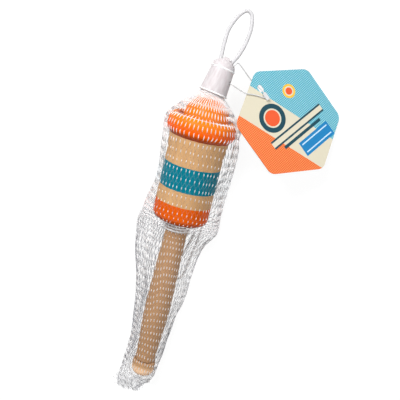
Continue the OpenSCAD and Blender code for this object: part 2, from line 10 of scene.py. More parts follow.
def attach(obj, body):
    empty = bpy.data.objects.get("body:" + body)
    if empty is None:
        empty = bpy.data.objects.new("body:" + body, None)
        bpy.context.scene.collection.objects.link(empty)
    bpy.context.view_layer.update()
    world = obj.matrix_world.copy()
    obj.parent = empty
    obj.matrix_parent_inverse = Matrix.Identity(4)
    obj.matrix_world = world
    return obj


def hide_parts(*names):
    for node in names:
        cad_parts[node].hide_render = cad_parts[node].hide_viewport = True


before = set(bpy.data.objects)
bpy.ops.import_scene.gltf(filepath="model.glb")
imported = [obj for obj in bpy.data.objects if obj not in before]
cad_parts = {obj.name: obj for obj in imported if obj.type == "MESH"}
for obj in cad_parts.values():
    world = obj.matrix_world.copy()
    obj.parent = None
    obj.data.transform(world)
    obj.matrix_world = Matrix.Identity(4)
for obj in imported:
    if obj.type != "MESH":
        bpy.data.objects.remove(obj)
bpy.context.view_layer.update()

# The stand for the photograph: a pale floor, a white surround, a large soft window light from
# the upper left, a weaker one from the right, and the camera above the cup, placed in
# millimetres and with its focal length in pixels of the square picture.
MM = 0.001
CAMERA_AT = (10.1, 45.4, 454.8)
FOCAL_PIXELS, PICTURE_PIXELS = 687.1, 400.0
SKY_LEVEL, LOW_SKY, HIGH_SKY, HIGH_SKY_AT = 0.38, (0.28, 0.28, 0.29, 1), (0.97, 0.98, 1.0, 1), 0.85
camera_data = bpy.data.cameras.new("camera")
camera = bpy.data.objects.new("camera", camera_data)
bpy.context.scene.collection.objects.link(camera)
bpy.context.scene.camera = camera
camera_data.sensor_width = 36.0
camera_data.lens = camera_data.sensor_width * FOCAL_PIXELS / PICTURE_PIXELS
camera_data.clip_start, camera_data.clip_end = 0.02, 20.0
camera_right = Vector((0.969, 0.240, -0.050)).normalized()
camera_back = Vector((0.0, 0.2045, 0.9789)).normalized()
camera_right = (camera_right - camera_right.dot(camera_back) * camera_back).normalized()
camera_up = camera_back.cross(camera_right)
camera_turn = Matrix((camera_right, camera_up, camera_back)).transposed().to_4x4()
camera.matrix_world = Matrix.Translation(Vector(CAMERA_AT) * MM) @ camera_turn

bpy.context.scene.view_settings.view_transform = "Standard"
world = bpy.data.worlds.new("surround")
bpy.context.scene.world = world
world.use_nodes = True
sky = world.node_tree.nodes["Background"]
seen = world.node_tree.nodes.new("ShaderNodeBackground")
seen.inputs["Color"].default_value = (1, 1, 1, 1)
seen.inputs["Strength"].default_value = 1.0
sky.inputs["Strength"].default_value = SKY_LEVEL
toward = world.node_tree.nodes.new("ShaderNodeTexCoord")
height = world.node_tree.nodes.new("ShaderNodeSeparateXYZ")
fade = world.node_tree.nodes.new("ShaderNodeValToRGB")
for element, at, color in zip(fade.color_ramp.elements, (0.0, HIGH_SKY_AT), (LOW_SKY, HIGH_SKY)):
    element.position = at
    element.color = color
ray = world.node_tree.nodes.new("ShaderNodeLightPath")
either = world.node_tree.nodes.new("ShaderNodeMixShader")
link = world.node_tree.links.new
link(toward.outputs["Generated"], height.inputs[0])
link(height.outputs[2], fade.inputs[0])
link(fade.outputs[0], sky.inputs["Color"])
link(ray.outputs["Is Camera Ray"], either.inputs[0])
link(sky.outputs[0], either.inputs[1])
link(seen.outputs[0], either.inputs[2])
link(either.outputs[0], world.node_tree.nodes["World Output"].inputs["Surface"])


def window(name, place, aim, width, power):
    """A square soft light, width metres wide, at a place in metres and turned to shine at aim."""
    data = bpy.data.lights.new(name, "AREA")
    data.size, data.energy = width, power
    lamp = bpy.data.objects.new(name, data)
    bpy.context.scene.collection.objects.link(lamp)
    lamp.location = place
    lamp.rotation_euler = (Vector(aim) - Vector(place)).to_track_quat("-Z", "Y").to_euler()


window("window_light", place=(-0.4, 0.55, 0.66), aim=(0, -0.04, 0.02), width=0.42, power=9.6)
window("fill_light", place=(0.5, 0.1, 0.95), aim=(0, -0.05, 0.02), width=0.7, power=4.1)


def new_mesh(name, points, faces, body, smooth=True):
    """A piece from its points in millimetres and its faces, riding on a body."""
    mesh = bpy.data.meshes.new(name)
    mesh.from_pydata((np.asarray(points, float).reshape(-1, 3) * MM).tolist(), [], faces)
    mesh.polygons.foreach_set("use_smooth", np.full(len(mesh.polygons), smooth))
    mesh.update()
    piece = bpy.data.objects.new(name, mesh)
    bpy.context.scene.collection.objects.link(piece)
    if body:
        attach(piece, body)
    return piece


FLOOR_HALF = 3000
corners = [[x * FLOOR_HALF, y * FLOOR_HALF, -0.1] for x, y in ((-1, -1), (1, -1), (1, 1), (-1, 1))]
floor = new_mesh("floor", corners, [(0, 1, 2, 3)], None, False)


class Finish:
    """A material's node tree with short words for the nodes it is made of."""

    def __init__(self, name, color, roughness, **sockets):
        self.material = bpy.data.materials.new(name)
        self.material.use_nodes = True
        self.tree = self.material.node_tree
        self.shader = self.tree.nodes["Principled BSDF"]
        self.shader.inputs["Base Color"].default_value = (*color, 1)
        self.shader.inputs["Roughness"].default_value = roughness
        for socket, value in sockets.items():
            self.shader.inputs[socket.replace("_", " ")].default_value = value

    def node(self, kind, inputs=(), **settings):
        """A node with its settings, and each input linked to a socket or set to a value."""
        made = self.tree.nodes.new(kind)
        for key, value in settings.items():
            setattr(made, key, value)
        for key, value in dict(inputs).items():
            if isinstance(value, bpy.types.NodeSocket):
                self.tree.links.new(value, made.inputs[key])
            else:
                made.inputs[key].default_value = value
        return made

    def place(self, location=(0, 0, 0), turn=(0, 0, 0), scale=(1, 1, 1), kind="TEXTURE"):
        """Object coordinates seen from a frame at a location, turned and stretched."""
        where = self.node("ShaderNodeTexCoord").outputs["Object"]
        return self.node("ShaderNodeMapping", {"Vector": where, "Location": location,
                         "Rotation": turn, "Scale": scale}, vector_type=kind).outputs[0]

    def noise(self, vector, scale, detail=3.0, roughness=0.5):
        """Soft noise from nought to one, with scale cells to the metre."""
        return self.node("ShaderNodeTexNoise", {"Vector": vector, "Scale": scale, "Detail": detail,
                         "Roughness": roughness}).outputs["Fac"]

    def ramp(self, value, stops, interpolation="LINEAR"):
        """A colour read from stops, pairs of a place and a colour, at a value."""
        made = self.node("ShaderNodeValToRGB", {"Fac": value})
        made.color_ramp.interpolation = interpolation
        while len(made.color_ramp.elements) < len(stops):
            made.color_ramp.elements.new(0.5)
        for element, (at, color) in zip(made.color_ramp.elements, stops):
            element.position = at
            element.color = (*color, 1) if len(color) == 3 else color
        return made.outputs["Color"]

    def math(self, operation, a, b=0.0, c=0.0, clamp=False):
        """The operation on up to three numbers or sockets, held within 0 and 1 if asked."""
        made = self.node("ShaderNodeMath", {0: a, 1: b, 2: c}, operation=operation, use_clamp=clamp)
        return made.outputs[0]

    def climb(self, value, start, stop):
        """Nought before start, one past stop and a straight line between; stop may be the lower."""
        slope = 1 / (stop - start)
        return self.math("MULTIPLY_ADD", value, slope, -start * slope, clamp=True)

    def mix(self, share, a, b):
        """Colour a times one minus the share, plus colour b times the share."""
        made = self.node("ShaderNodeMix", {0: share}, data_type="RGBA")
        for socket, value in ((made.inputs[6], a), (made.inputs[7], b)):
            if isinstance(value, bpy.types.NodeSocket):
                self.tree.links.new(value, socket)
            else:
                socket.default_value = (*value, 1)
        return made.outputs[2]

    def axes(self, vector):
        """The x, y and z of a vector."""
        return self.node("ShaderNodeSeparateXYZ", {0: vector}).outputs

    def bump(self, height, strength, distance=0.0002):
        """Tilts the shading by the slope of a height, distance metres high at one."""
        made = self.node("ShaderNodeBump", {"Height": height, "Strength": strength, "Distance": distance})
        self.tree.links.new(made.outputs[0], self.shader.inputs["Normal"])

    def feed(self, socket, value):
        """Links a value to a socket of the shader."""
        self.tree.links.new(value, self.shader.inputs[socket])

    def on(self, *pieces):
        """Makes this the only material of the pieces."""
        for piece in pieces:
            piece.data.materials.clear()
            piece.data.materials.append(self.material)


# The floor is matt paper. To the camera alone it glows as well, so that it shows almost white
# and still keeps the shadows.
GLOW_LEVEL, GLOW_SHARE = 1.23, 0.72
floor_finish = Finish("floor_paper", (0.6, 0.6, 0.6), 1.0, Specular_IOR_Level=0.0)
floor_glow = floor_finish.node("ShaderNodeEmission", {"Color": (1, 1, 1, 1), "Strength": GLOW_LEVEL})
floor_ray = floor_finish.node("ShaderNodeLightPath")
floor_share = floor_finish.math("MULTIPLY", floor_ray.outputs["Is Camera Ray"], GLOW_SHARE)
floor_both = floor_finish.node("ShaderNodeMixShader", {0: floor_share})
floor_finish.tree.links.new(floor_finish.shader.outputs[0], floor_both.inputs[1])
floor_finish.tree.links.new(floor_glow.outputs[0], floor_both.inputs[2])
floor_surface = floor_finish.tree.nodes["Material Output"].inputs["Surface"]
floor_finish.tree.links.new(floor_both.outputs[0], floor_surface)
floor_finish.on(floor)

# The cup, turned from one block of pale beech: a dish, a thick rolled rim and a straight body,
# spray painted while it spun on the lathe, with two bands left as bare lacquered wood.
CUP_H, RIM_R, RIM_MID, BODY_TOP_R, BODY_R, BASE_ROUND = 69.5, 22.0, 7.75, 19.1, 18.2, 4.6
DISH_MOUTH_R, DISH_H = 17.0, 16.0
EDGE_R, EDGE_ROUND, ROLL_H, LOW_ROUND, LOW_AT = 17.9, 0.9, 6.4, 5.6, 7.9
FLARE_H, SOCKET_R = 14.0, 5.7
NET_UNDER = 0.95
LIE_TILT = math.atan((RIM_R - BODY_R) / (CUP_H - BASE_ROUND - RIM_MID))
LIE_RISE = RIM_R + NET_UNDER


def lay(points):
    """From the toy's own frame (across, down, along) to where it lies: it is moved along by half
    the rim's height, tipped up by the lying tilt and raised by the rim's radius."""
    p = np.asarray(points, float)
    across, down, along = p[..., 0], p[..., 1], p[..., 2] + RIM_MID
    c, s = math.cos(LIE_TILT), math.sin(LIE_TILT)
    return np.stack([across, along * c + down * s, LIE_RISE + along * s - down * c], -1)


def arc(x, z, rx, rz, start, stop, count):
    """Points (x + rx cos a, z + rz sin a) for a from start to stop, in degrees."""
    a = np.radians(np.linspace(start, stop, count))
    return np.stack([x + rx * np.cos(a), z + rz * np.sin(a)], -1)


def straight(x, start, stop):
    """Nought at start, one at stop, a straight line between and level beyond; stop may be lower."""
    return np.clip((x - start) / (stop - start), 0, 1)


def smooth(x, start, stop):
    """The same with half a cosine wave for the line: half of one minus the cosine of a half turn
    times the straight one."""
    return (1 - np.cos(np.pi * straight(x, start, stop))) / 2


def turned(outline, sides=96):
    """A lathe surface: the outline's radius swings round the axis, one ring for each point."""
    r, z = np.asarray(outline, float).T
    a = np.arange(sides) * 2 * np.pi / sides
    return np.stack([r[:, None] * np.cos(a), r[:, None] * np.sin(a), np.repeat(z[:, None], sides, 1)], -1)


def grid_faces(rows, columns, start=0, closed_rows=False, flip=False):
    """Quads of a grid of points whose columns close into rings, and its rows too if asked."""
    i = np.arange(rows if closed_rows else rows - 1)[:, None]
    k = np.arange(columns)[None, :]
    a = start + i * columns + k
    b = start + i * columns + (k + 1) % columns
    c = start + ((i + 1) % rows) * columns + (k + 1) % columns
    d = start + ((i + 1) % rows) * columns + k
    quads = np.stack([a, b, c, d] if not flip else [a, d, c, b], -1)
    return quads.reshape(-1, 4).tolist()


def ring_piece(name, grid, body, flip=False):
    """A piece from a grid of rings; the first and last ring are closed with a fan to their middle."""
    rows, columns = grid.shape[:2]
    points = np.concatenate([grid.reshape(-1, 3), [grid[0].mean(0), grid[-1].mean(0)]])
    k = np.arange(columns)
    after = (k + 1) % columns
    last = (rows - 1) * columns
    low = np.stack([np.full(columns, rows * columns), after, k], -1)
    high = np.stack([np.full(columns, rows * columns + 1), last + k, last + after], -1)
    if flip:
        low, high = low[:, ::-1], high[:, ::-1]
    faces = grid_faces(rows, columns, flip=flip) + low.tolist() + high.tolist()
    return new_mesh(name, points, faces, body)


DISH_R = (DISH_MOUTH_R**2 + DISH_H**2) / (2 * DISH_H)
dish_edge = math.degrees(math.asin(DISH_MOUTH_R / DISH_R))
low_end = math.degrees(math.acos((BODY_TOP_R - RIM_R + LOW_ROUND) / LOW_ROUND))
flare_top = -LOW_AT - LOW_ROUND * math.sin(math.radians(low_end))
flare = np.linspace(0.05, 1, 24)
cup_outline = np.concatenate([
    arc(0, DISH_R - DISH_H, DISH_R, DISH_R, -89.6, dish_edge - 92, 28),
    arc(EDGE_R, -EDGE_ROUND, EDGE_ROUND, EDGE_ROUND, 175, 95, 8),
    arc(EDGE_R, -ROLL_H, RIM_R - EDGE_R, ROLL_H, 85, 0, 24),
    arc(RIM_R - LOW_ROUND, -LOW_AT, LOW_ROUND, LOW_ROUND, -4, -low_end, 16),
    np.stack([BODY_TOP_R - (BODY_TOP_R - BODY_R) * smooth(flare, 0, 1), flare_top - FLARE_H * flare], -1),
    [[BODY_R, -45.0], [BODY_R, -55.0]],
    arc(BODY_R - BASE_ROUND, BASE_ROUND - CUP_H, BASE_ROUND, BASE_ROUND, 0, -90, 16),
    [[8.0, -CUP_H], [SOCKET_R, 0.02 - CUP_H]],
])
cup = ring_piece("painted_cup", lay(turned(cup_outline)), "pack", flip=True)
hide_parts("cup")

TOY_PLACE = tuple(lay([0.0, 0.0, 0.0]) * MM)
TOY_TURN = (LIE_TILT - math.pi / 2, 0, 0)
BEECH = [(0.0, (0.40, 0.21, 0.085)), (0.45, (0.56, 0.32, 0.145)), (1.0, (0.70, 0.44, 0.22))]
BEECH_FLECK, FLECK_SHARE, FLECK_LEVEL = (0.42, 0.2, 0.08), 0.35, 0.66


def beech_grain(finish):
    """Pale beech along the lathe axis: the colour follows a sum of fine and broad streaks of noise,
    and short dark flecks lie where a finer noise is past a level."""
    long_way = finish.place(TOY_PLACE, TOY_TURN, (1, 1, 14))
    streak = finish.noise(long_way, 380, 4, 0.6)
    broad = finish.noise(long_way, 90, 2)
    tone = finish.math("MULTIPLY_ADD", streak, 0.65, finish.math("MULTIPLY", broad, 0.45))
    flecks = finish.noise(finish.place(TOY_PLACE, TOY_TURN, (1, 1, 5)), 1500, 2)
    dark = finish.math("GREATER_THAN", flecks, FLECK_LEVEL)
    wood = finish.ramp(tone, BEECH)
    return finish.mix(finish.math("MULTIPLY", dark, FLECK_SHARE), wood, BEECH_FLECK), tone


painted = Finish("painted_beech", (0.9, 0.3, 0.05), 0.4, Specular_IOR_Level=0.06)
bare, grain = beech_grain(painted)
along = painted.axes(painted.place(TOY_PLACE, TOY_TURN))[2]
wobble = painted.noise(painted.place(TOY_PLACE, TOY_TURN), 260, 2)
level = painted.math("ADD", along, painted.math("MULTIPLY", painted.math("SUBTRACT", wobble, 0.5), 0.0004))
share = painted.math("DIVIDE", painted.math("MULTIPLY", level, -1.0), CUP_H * MM)
ORANGE = (0.93, 0.12, 0.001)
DEEP_ORANGE = (0.77, 0.109, 0.001)
TEAL = (0.001, 0.19, 0.26)
# Painted shade and a painted highlight: a dark red-brown for under the rim's lip and the base's lower edge,
# and a lighter, yellower orange for the rim's half next to the mouth.
PAINTED_SHADE_BROWN, PAINTED_HIGHLIGHT_ORANGE = (0.22, 0.03, 0.002), (0.79, 0.225, 0.004)
COAT_SHADE, PAINTED_SHADE_AMOUNT = 0.22, 0.75
BARE, COATED = (0, 0, 0), (1, 1, 1)
BAND_EDGES = (0.0, 0.191, 0.444, 0.668, 0.812)
bands = painted.ramp(share, list(zip(BAND_EDGES, (ORANGE, BARE, TEAL, BARE, DEEP_ORANGE))), "CONSTANT")
cover = painted.ramp(share, list(zip(BAND_EDGES, (COATED, BARE, COATED, BARE, COATED))), "CONSTANT")
coat_tone = painted.noise(painted.place(TOY_PLACE, TOY_TURN, (1, 1, 6)), 240, 3)
# Painted shade: the paint is darkened towards a red-brown under the rim's lip and at the base's lower edge,
# where shade falls.
under_rim = painted.climb(share, 0.128125, 0.190625)
under_base = painted.climb(share, 0.93571, 1.00714)
on_rim = painted.math("LESS_THAN", share, BAND_EDGES[1])
painted_shade_mask = painted.math("MULTIPLY_ADD", under_rim, on_rim, under_base)
shaded = painted.mix(painted.math("MULTIPLY", coat_tone, COAT_SHADE), bands, (0, 0, 0))
shaded = painted.mix(painted.math("MULTIPLY", painted_shade_mask, PAINTED_SHADE_AMOUNT), shaded, PAINTED_SHADE_BROWN)
# Painted highlight: the rim's half next to the mouth is mixed towards a lighter, yellower orange, most at the
# mouth, where the window light falls on the rim.
shaded = painted.mix(painted.climb(share, 0.11111, 0.0), shaded, PAINTED_HIGHLIGHT_ORANGE)
painted.feed("Base Color", painted.mix(cover, bare, shaded))
painted.bump(grain, 0.15, 0.0001)
painted.on(cup)

# The handle, a turned beech stick swelling towards the hand, with a rounded pommel and a tenon
# glued into the cup. It is sanded and left under clear satin lacquer.
SHANK_L, NECK_R, GRIP_R, WRIST_R, GRIP_SHARE = 104.2, 7.25, 8.5, 6.8, 0.62
TENON_R, TENON_L = 5.5, 20.0
POMMEL_R, BEAD_ROUND, END_REACH, END_H = 7.8, 1.6, 4.4, 5.5


def grip_radius(t):
    """The handle's radius at a share t of the way from the cup to the pommel: a smooth step from
    the neck out to the grip, then another from the grip in to the wrist above the pommel."""
    t = np.asarray(t, float)
    swell = NECK_R + (GRIP_R - NECK_R) * smooth(t, 0, GRIP_SHARE)
    taper = GRIP_R - (GRIP_R - WRIST_R) * smooth(t, GRIP_SHARE, 1)
    return np.where(t < GRIP_SHARE, swell, taper)


shank = np.linspace(0, 1, 60)
handle_outline = np.concatenate([
    [[TENON_R - 0.7, TENON_L - CUP_H], [TENON_R, TENON_L - 1 - CUP_H], [TENON_R, 0.1 - CUP_H]],
    np.stack([grip_radius(shank), -CUP_H - 0.05 - (SHANK_L - 0.05) * shank], -1),
    arc(POMMEL_R - BEAD_ROUND, -CUP_H - SHANK_L - BEAD_ROUND, BEAD_ROUND, BEAD_ROUND, 86, 0, 10),
    arc(POMMEL_R - END_REACH, -CUP_H - SHANK_L - END_H, END_REACH, END_H, 0, -90, 20),
])
handle = ring_piece("turned_handle", lay(turned(handle_outline, 72)), "pack", flip=True)
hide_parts("handle")
lacquer = Finish("lacquered_beech", (0.75, 0.46, 0.24), 0.5, Specular_IOR_Level=0.25)
stick, stick_grain = beech_grain(lacquer)
along_stick = lacquer.axes(lacquer.place(kind="POINT"))[1]
# The stick is mixed half way towards a darker brown, and the pommel almost wholly towards a paler one.
DARKER_STICK_WOOD, POMMEL_WOOD = (0.3, 0.15, 0.08), (1.0, 0.67, 0.43)
stick_darkening = lacquer.math("MULTIPLY", lacquer.climb(along_stick, -0.1704, -0.1664), 0.5)
at_pommel = lacquer.math("MULTIPLY", lacquer.climb(along_stick, -0.1688, -0.1728), 0.95)
stick = lacquer.mix(at_pommel, lacquer.mix(stick_darkening, stick, DARKER_STICK_WOOD), POMMEL_WOOD)
lacquer.feed("Base Color", stick)
lacquer.bump(stick_grain, 0.25, 0.00012)
lacquer.on(handle)

# The ball, turned from beech and dipped in orange gloss. It is drilled through, and the string's
# knot sits in a wider hollow at the far end of the hole.
BALL_R, BORE_R, SEAT_R, SEAT_FLOOR = 14.5, 1.3, 3.0, 9.5
BALL_AT = np.array([1.18902, 7.10964, 22.619])
BORE_DIR = np.array([0.883697, 0.234232, 0.405236])


def along_bore(grid):
    """Turns a lathe grid's axis to the bore's direction and moves it to the ball's middle."""
    side = np.cross(BORE_DIR, [0, 0, 1.0])
    side /= np.linalg.norm(side)
    other = np.cross(BORE_DIR, side)
    return BALL_AT + grid @ np.stack([side, other, BORE_DIR])


bore_half = math.degrees(math.acos(BORE_R / BALL_R))
seat_half = math.degrees(math.acos(SEAT_R / BALL_R))
ball_outline = np.concatenate([
    arc(0, 0, BALL_R, BALL_R, bore_half - 1, -seat_half + 1.5, 60),
    [[SEAT_R + 0.15, -14.05], [SEAT_R - 0.02, -13.9], [SEAT_R - 0.05, -SEAT_FLOOR - 0.1],
     [BORE_R + 0.05, -SEAT_FLOOR], [BORE_R, -SEAT_FLOOR + 0.1], [BORE_R, 13.9], [BORE_R + 0.03, 14.2]],
])
ball_grid = along_bore(turned(ball_outline, 80))
ball = new_mesh("wooden_ball", ball_grid.reshape(-1, 3),
                grid_faces(len(ball_outline), 80, closed_rows=True), "ball")
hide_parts("ball")
BALL_ORANGE, BALL_DEEP = (0.76, 0.2, 0.004), (0.8, 0.165, 0.003)
gloss = Finish("orange_gloss", BALL_ORANGE, 0.3, Specular_IOR_Level=0.1)
dip = gloss.noise(gloss.place(kind="POINT"), 160, 3)
gloss.feed("Base Color", gloss.mix(gloss.math("MULTIPLY", dip, 0.3), BALL_ORANGE, BALL_DEEP))
gloss.bump(gloss.noise(gloss.place(kind="POINT"), 700, 2), 0.06, 0.0001)
gloss.on(ball)

# The string, soft white cotton braid. It leaves the ball, goes over the rim and down inside the
# net, lies in a long bend beside the handle and comes back up to the neck, where it is tied. Its
# points are shares of the rim's radius, the cup's height and the reach to the header.
STRING_ROUTE = np.array([
    [0.636, 0.69, 1.295], [0.7, 0.716, 1.323], [0.791, 0.677, 1.291], [0.895, 0.565, 1.227],
    [0.995, 0.401, 1.173], [1.045, 0.197, 1.136], [1.055, 0, 1.109], [1.055, -0.058, 1.073],
    [1.055, -0.124, 1], [1.055, -0.219, 0.836], [1.027, -0.328, 0.591], [0.945, -0.452, 0.364],
    [0.836, -0.576, 0.218], [0.755, -0.712, 0.164], [0.727, -0.849, 0.145], [0.718, -0.986, 0.118],
    [0.682, -1.122, 0.109], [0.618, -1.266, 0.109], [0.555, -1.41, 0.109], [0.473, -1.511, 0.109],
    [0.3, -1.54, 0.109], [0.191, -1.489, 0.109], [0.245, -1.367, 0.109], [0.382, -1.237, 0.136],
    [0.491, -1.114, 0.245], [0.536, -1.016, 0.455], [0.518, -0.955, 0.664], [0.464, -0.935, 0.773],
])
HEADER_REACH = 15.2207
STRING_ROUTE[:, [0, 2]] *= RIM_R
STRING_ROUTE[:, 1] *= np.where(STRING_ROUTE[:, 1] < 0, CUP_H, HEADER_REACH)
STRING_R = 0.7


def smooth_path(points, steps):
    """A Catmull-Rom curve: each stretch is the cubic through its two points whose slopes are half
    the differences of their neighbours."""
    p = np.asarray(points, float)
    a, b = np.concatenate([p[:1], p[:-1]]), p
    c, d = np.concatenate([p[1:], p[-1:]]), np.concatenate([p[2:], p[-1:], p[-1:]])
    t = (np.arange(steps) / steps)[None, :, None]
    a, b, c, d = (v[:, None, :] for v in (a, b, c, d))
    curve = (2 * b + (c - a) * t + (2 * a - 5 * b + 4 * c - d) * t**2 + (3 * b - a - 3 * c + d) * t**3) / 2
    return np.concatenate([curve.reshape(-1, 3)[: (len(p) - 1) * steps], p[-1:]])


def path_frames(path):
    """Two unit vectors across a path at each point; the first starts nearest to upright and is
    carried along with as little turning as it can."""
    ahead = np.roll(path, -1, 0) - np.roll(path, 1, 0)
    ahead[0], ahead[-1] = path[1] - path[0], path[-1] - path[-2]
    ahead /= np.linalg.norm(ahead, axis=1)[:, None]
    side = np.zeros_like(path)
    v = np.array([0, 0, 1.0]) if abs(ahead[0][2]) < 0.7 else np.array([1.0, 0, 0])
    for i, d in enumerate(ahead):
        v = v - (v @ d) * d
        v = v / np.linalg.norm(v)
        side[i] = v
    return side, np.cross(ahead, side)


def tube(path, radius, sides):
    """Rings of a round tube: path + radius (cos a side + sin a other), a going once round."""
    side, other = path_frames(path)
    a = (np.arange(sides) * 2 * np.pi / sides)[None, :, None]
    return path[:, None, :] + radius * (np.cos(a) * side[:, None, :] + np.sin(a) * other[:, None, :])


string_path = smooth_path(STRING_ROUTE, 10)
braid = ring_piece("cotton_string", tube(string_path, STRING_R, 14), "pack")
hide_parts("string")

TIE_TURNS, TIE_PITCH, TIE_ANGLE, TIE_START, TIE_GAP = 3, 1.9, math.radians(-14), 1.8, 0.15
KNOT_OUT, KNOT_DOWN, NECK_KNOT, BALL_KNOT, BALL_KNOT_AT = 9.1, 2.5, 3.3, 4.3, 11.9
neck_turns = np.linspace(0, TIE_TURNS, TIE_TURNS * 36 + 1)


def wound(turn):
    """A helix round the neck: one pitch along for each turn, a small gap clear of the wood."""
    s = TIE_START + TIE_PITCH * turn
    a = TIE_ANGLE - 2 * np.pi * turn
    r = grip_radius(s / SHANK_L) + STRING_R + TIE_GAP
    return lay(np.stack([r * np.cos(a), r * np.sin(a), -CUP_H - s], -1))


tie_path = wound(neck_turns)
lead = string_path[-1] - string_path[-2]
lead /= np.linalg.norm(lead)
tie_path = np.concatenate([[string_path[-1] + 0.2 * lead, string_path[-1] + 1.4 * lead], tie_path])
knot_turn = TIE_ANGLE + 0.07
knot_at = lay([KNOT_OUT * math.cos(knot_turn), KNOT_OUT * math.sin(knot_turn), -CUP_H - KNOT_DOWN])


def knot(middle, size, axis, wraps=3.2, thick=0.62):
    """An overhand knot as a short coil: a circle of half size, drawn round the axis and
    squeezed towards its ends, that the string follows for a few wraps."""
    axis = np.asarray(axis, float) / np.linalg.norm(axis)
    side = np.cross(axis, [0.3, 0.2, 1.0])
    side /= np.linalg.norm(side)
    other = np.cross(axis, side)
    t = np.linspace(0, 1, 60)
    a = 2 * np.pi * wraps * t
    reach = (size / 2 - thick) * (0.55 + 0.45 * np.sin(np.pi * t))
    shift = (t - 0.5) * (size - 2 * thick) * 0.9
    path = middle + reach[:, None] * (np.cos(a)[:, None] * side + np.sin(a)[:, None] * other)
    return tube(path + shift[:, None] * axis, thick, 10)


def joined(name, grids, body):
    """One piece from several tubes, each closed at both ends."""
    points, faces, start = [], [], 0
    for grid in grids:
        rows, columns = grid.shape[:2]
        points += [grid.reshape(-1, 3)]
        faces += grid_faces(rows, columns, start)
        faces += [[start + k for k in range(columns)][::-1],
                  [start + (rows - 1) * columns + k for k in range(columns)]]
        start += rows * columns
    return new_mesh(name, np.concatenate(points), faces, body)


neck_knot = joined("string_on_neck", [tube(tie_path, STRING_R * 0.98, 12),
                                      knot(knot_at, NECK_KNOT, [0.2, 1, 0.3])], "pack")
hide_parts("neck_tie")
core = np.linspace(STRING_ROUTE[0] - 0.2 * BORE_DIR, BALL_AT - (BALL_KNOT_AT - 0.3) * BORE_DIR, 24)
end_knot = joined("string_in_ball", [tube(core, STRING_R * 0.95, 12),
                                     knot(BALL_AT - BALL_KNOT_AT * BORE_DIR, BALL_KNOT, BORE_DIR)],
                  "ball")
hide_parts("ball_knot")
cotton = Finish("cotton_braid", (0.84, 0.81, 0.76), 0.85, Sheen_Weight=0.3, Subsurface_Weight=0.4,
                Subsurface_Scale=0.001)
cotton.shader.inputs["Subsurface Radius"].default_value = (1, 1, 1)
strands = cotton.node("ShaderNodeTexWave", {"Vector": cotton.place(turn=(0.6, 0.3, 0.8), kind="POINT"),
                      "Scale": 650.0, "Distortion": 2.0}).outputs["Fac"]
cotton.feed("Base Color", cotton.ramp(strands, [(0.0, (0.86, 0.84, 0.82)), (1.0, (0.96, 0.95, 0.94))]))
cotton.bump(strands, 0.5, 0.0002)
cotton.on(braid, neck_knot, end_knot)
# The photograph shows no shadow of the string through the net.
braid.visible_shadow = False

# The net bag, a knitted tube of clear polythene filament. Two filaments cross and run side by side
# at every stitch, which shows as a short white dash, and between stitches they part in diamonds.
HEADER_AT = lay([1.6, 0, HEADER_REACH])
HEADER_YAW, HEADER_LEAN = math.radians(8.5), math.radians(-95)


def header_point(points):
    """From the header's own frame (across, down, up its axis) to where the header lies."""
    p = np.asarray(points, float)
    c, s = math.cos(HEADER_LEAN), math.sin(HEADER_LEAN)
    y, z = p[..., 1] * c - p[..., 2] * s, p[..., 1] * s + p[..., 2] * c
    c, s = math.cos(HEADER_YAW), math.sin(HEADER_YAW)
    return HEADER_AT + np.stack([p[..., 0] * c + y * s, -p[..., 0] * s + y * c, z], -1)


# Across the bag, from the cone under the header to the tail: place along the toy, reach to the
# left and to the right, heights of the top, of the widest line and of the underside, and the
# powers that shape its upper side, its underside and the fall from its top.
BAG = np.array([
    [20.2, 9.8, 12.6, 35.2, 24.2, 13.6, 1, 1, 1],
    [15.9, 14.1, 15, 38.5, 24, 8.6, 1, 1, 1],
    [12, 18.1, 19, 42.3, 23.7, 4, 1, 1, 1],
    [8.2, 21.6, 22.5, 45.5, 23.5, 0.1, 1, 1, 1],
    [4.3, 24, 24.9, 46.2, 23.2, -0.5, 0.88, 0.9, 0.88],
    [0.5, 24.2, 25.2, 45.9, 23, -0.5, 0.88, 0.72, 0.88],
    [-8.2, 23.8, 26.5, 45.1, 22.4, -0.5, 0.88, 0.72, 0.88],
    [-23.5, 22.2, 27.2, 43, 20.3, -0.5, 0.88, 0.72, 0.88],
    [-40.8, 21.7, 25.5, 40.6, 18.2, -0.5, 0.88, 0.72, 0.88],
    [-51.9, 24, 26.8, 39, 16.6, -0.5, 0.88, 0.72, 0.88],
    [-57.8, 25.3, 27, 38.3, 15.3, -0.5, 0.88, 0.72, 0.88],
    [-62, 26.4, 27, 37, 13.2, -0.5, 0.88, 0.72, 0.88],
    [-68.5, 27.5, 26.6, 29.8, 9.6, -0.5, 1.05, 0.72, 1.2],
    [-78.3, 26.8, 22.2, 27.4, 7.5, -0.5, 1.05, 0.72, 1.9],
    [-91, 25.7, 18.7, 26.6, 6.8, -0.5, 1.05, 0.72, 2.3],
    [-113.7, 19.9, 17.7, 25.1, 6.2, -0.5, 1.05, 0.72, 1.8],
    [-135.3, 15.8, 14.2, 23.6, 5.6, -0.5, 1, 0.72, 1.45],
    [-153, 15, 12, 22.4, 5.1, -0.5, 0.95, 0.72, 1.25],
    [-165.1, 15, 11, 21.2, 4.8, -0.5, 0.85, 0.72, 1],
    [-172.5, 15.4, 10.1, 20.7, 4.6, -0.5, 0.8, 0.72, 0.8],
    [-181.7, 16.3, 7.9, 16.7, 4.3, -0.5, 0.8, 0.72, 0.8],
    [-194.8, 16.4, -3.6, 5.8, 1.9, -0.5, 1, 0.72, 1],
])


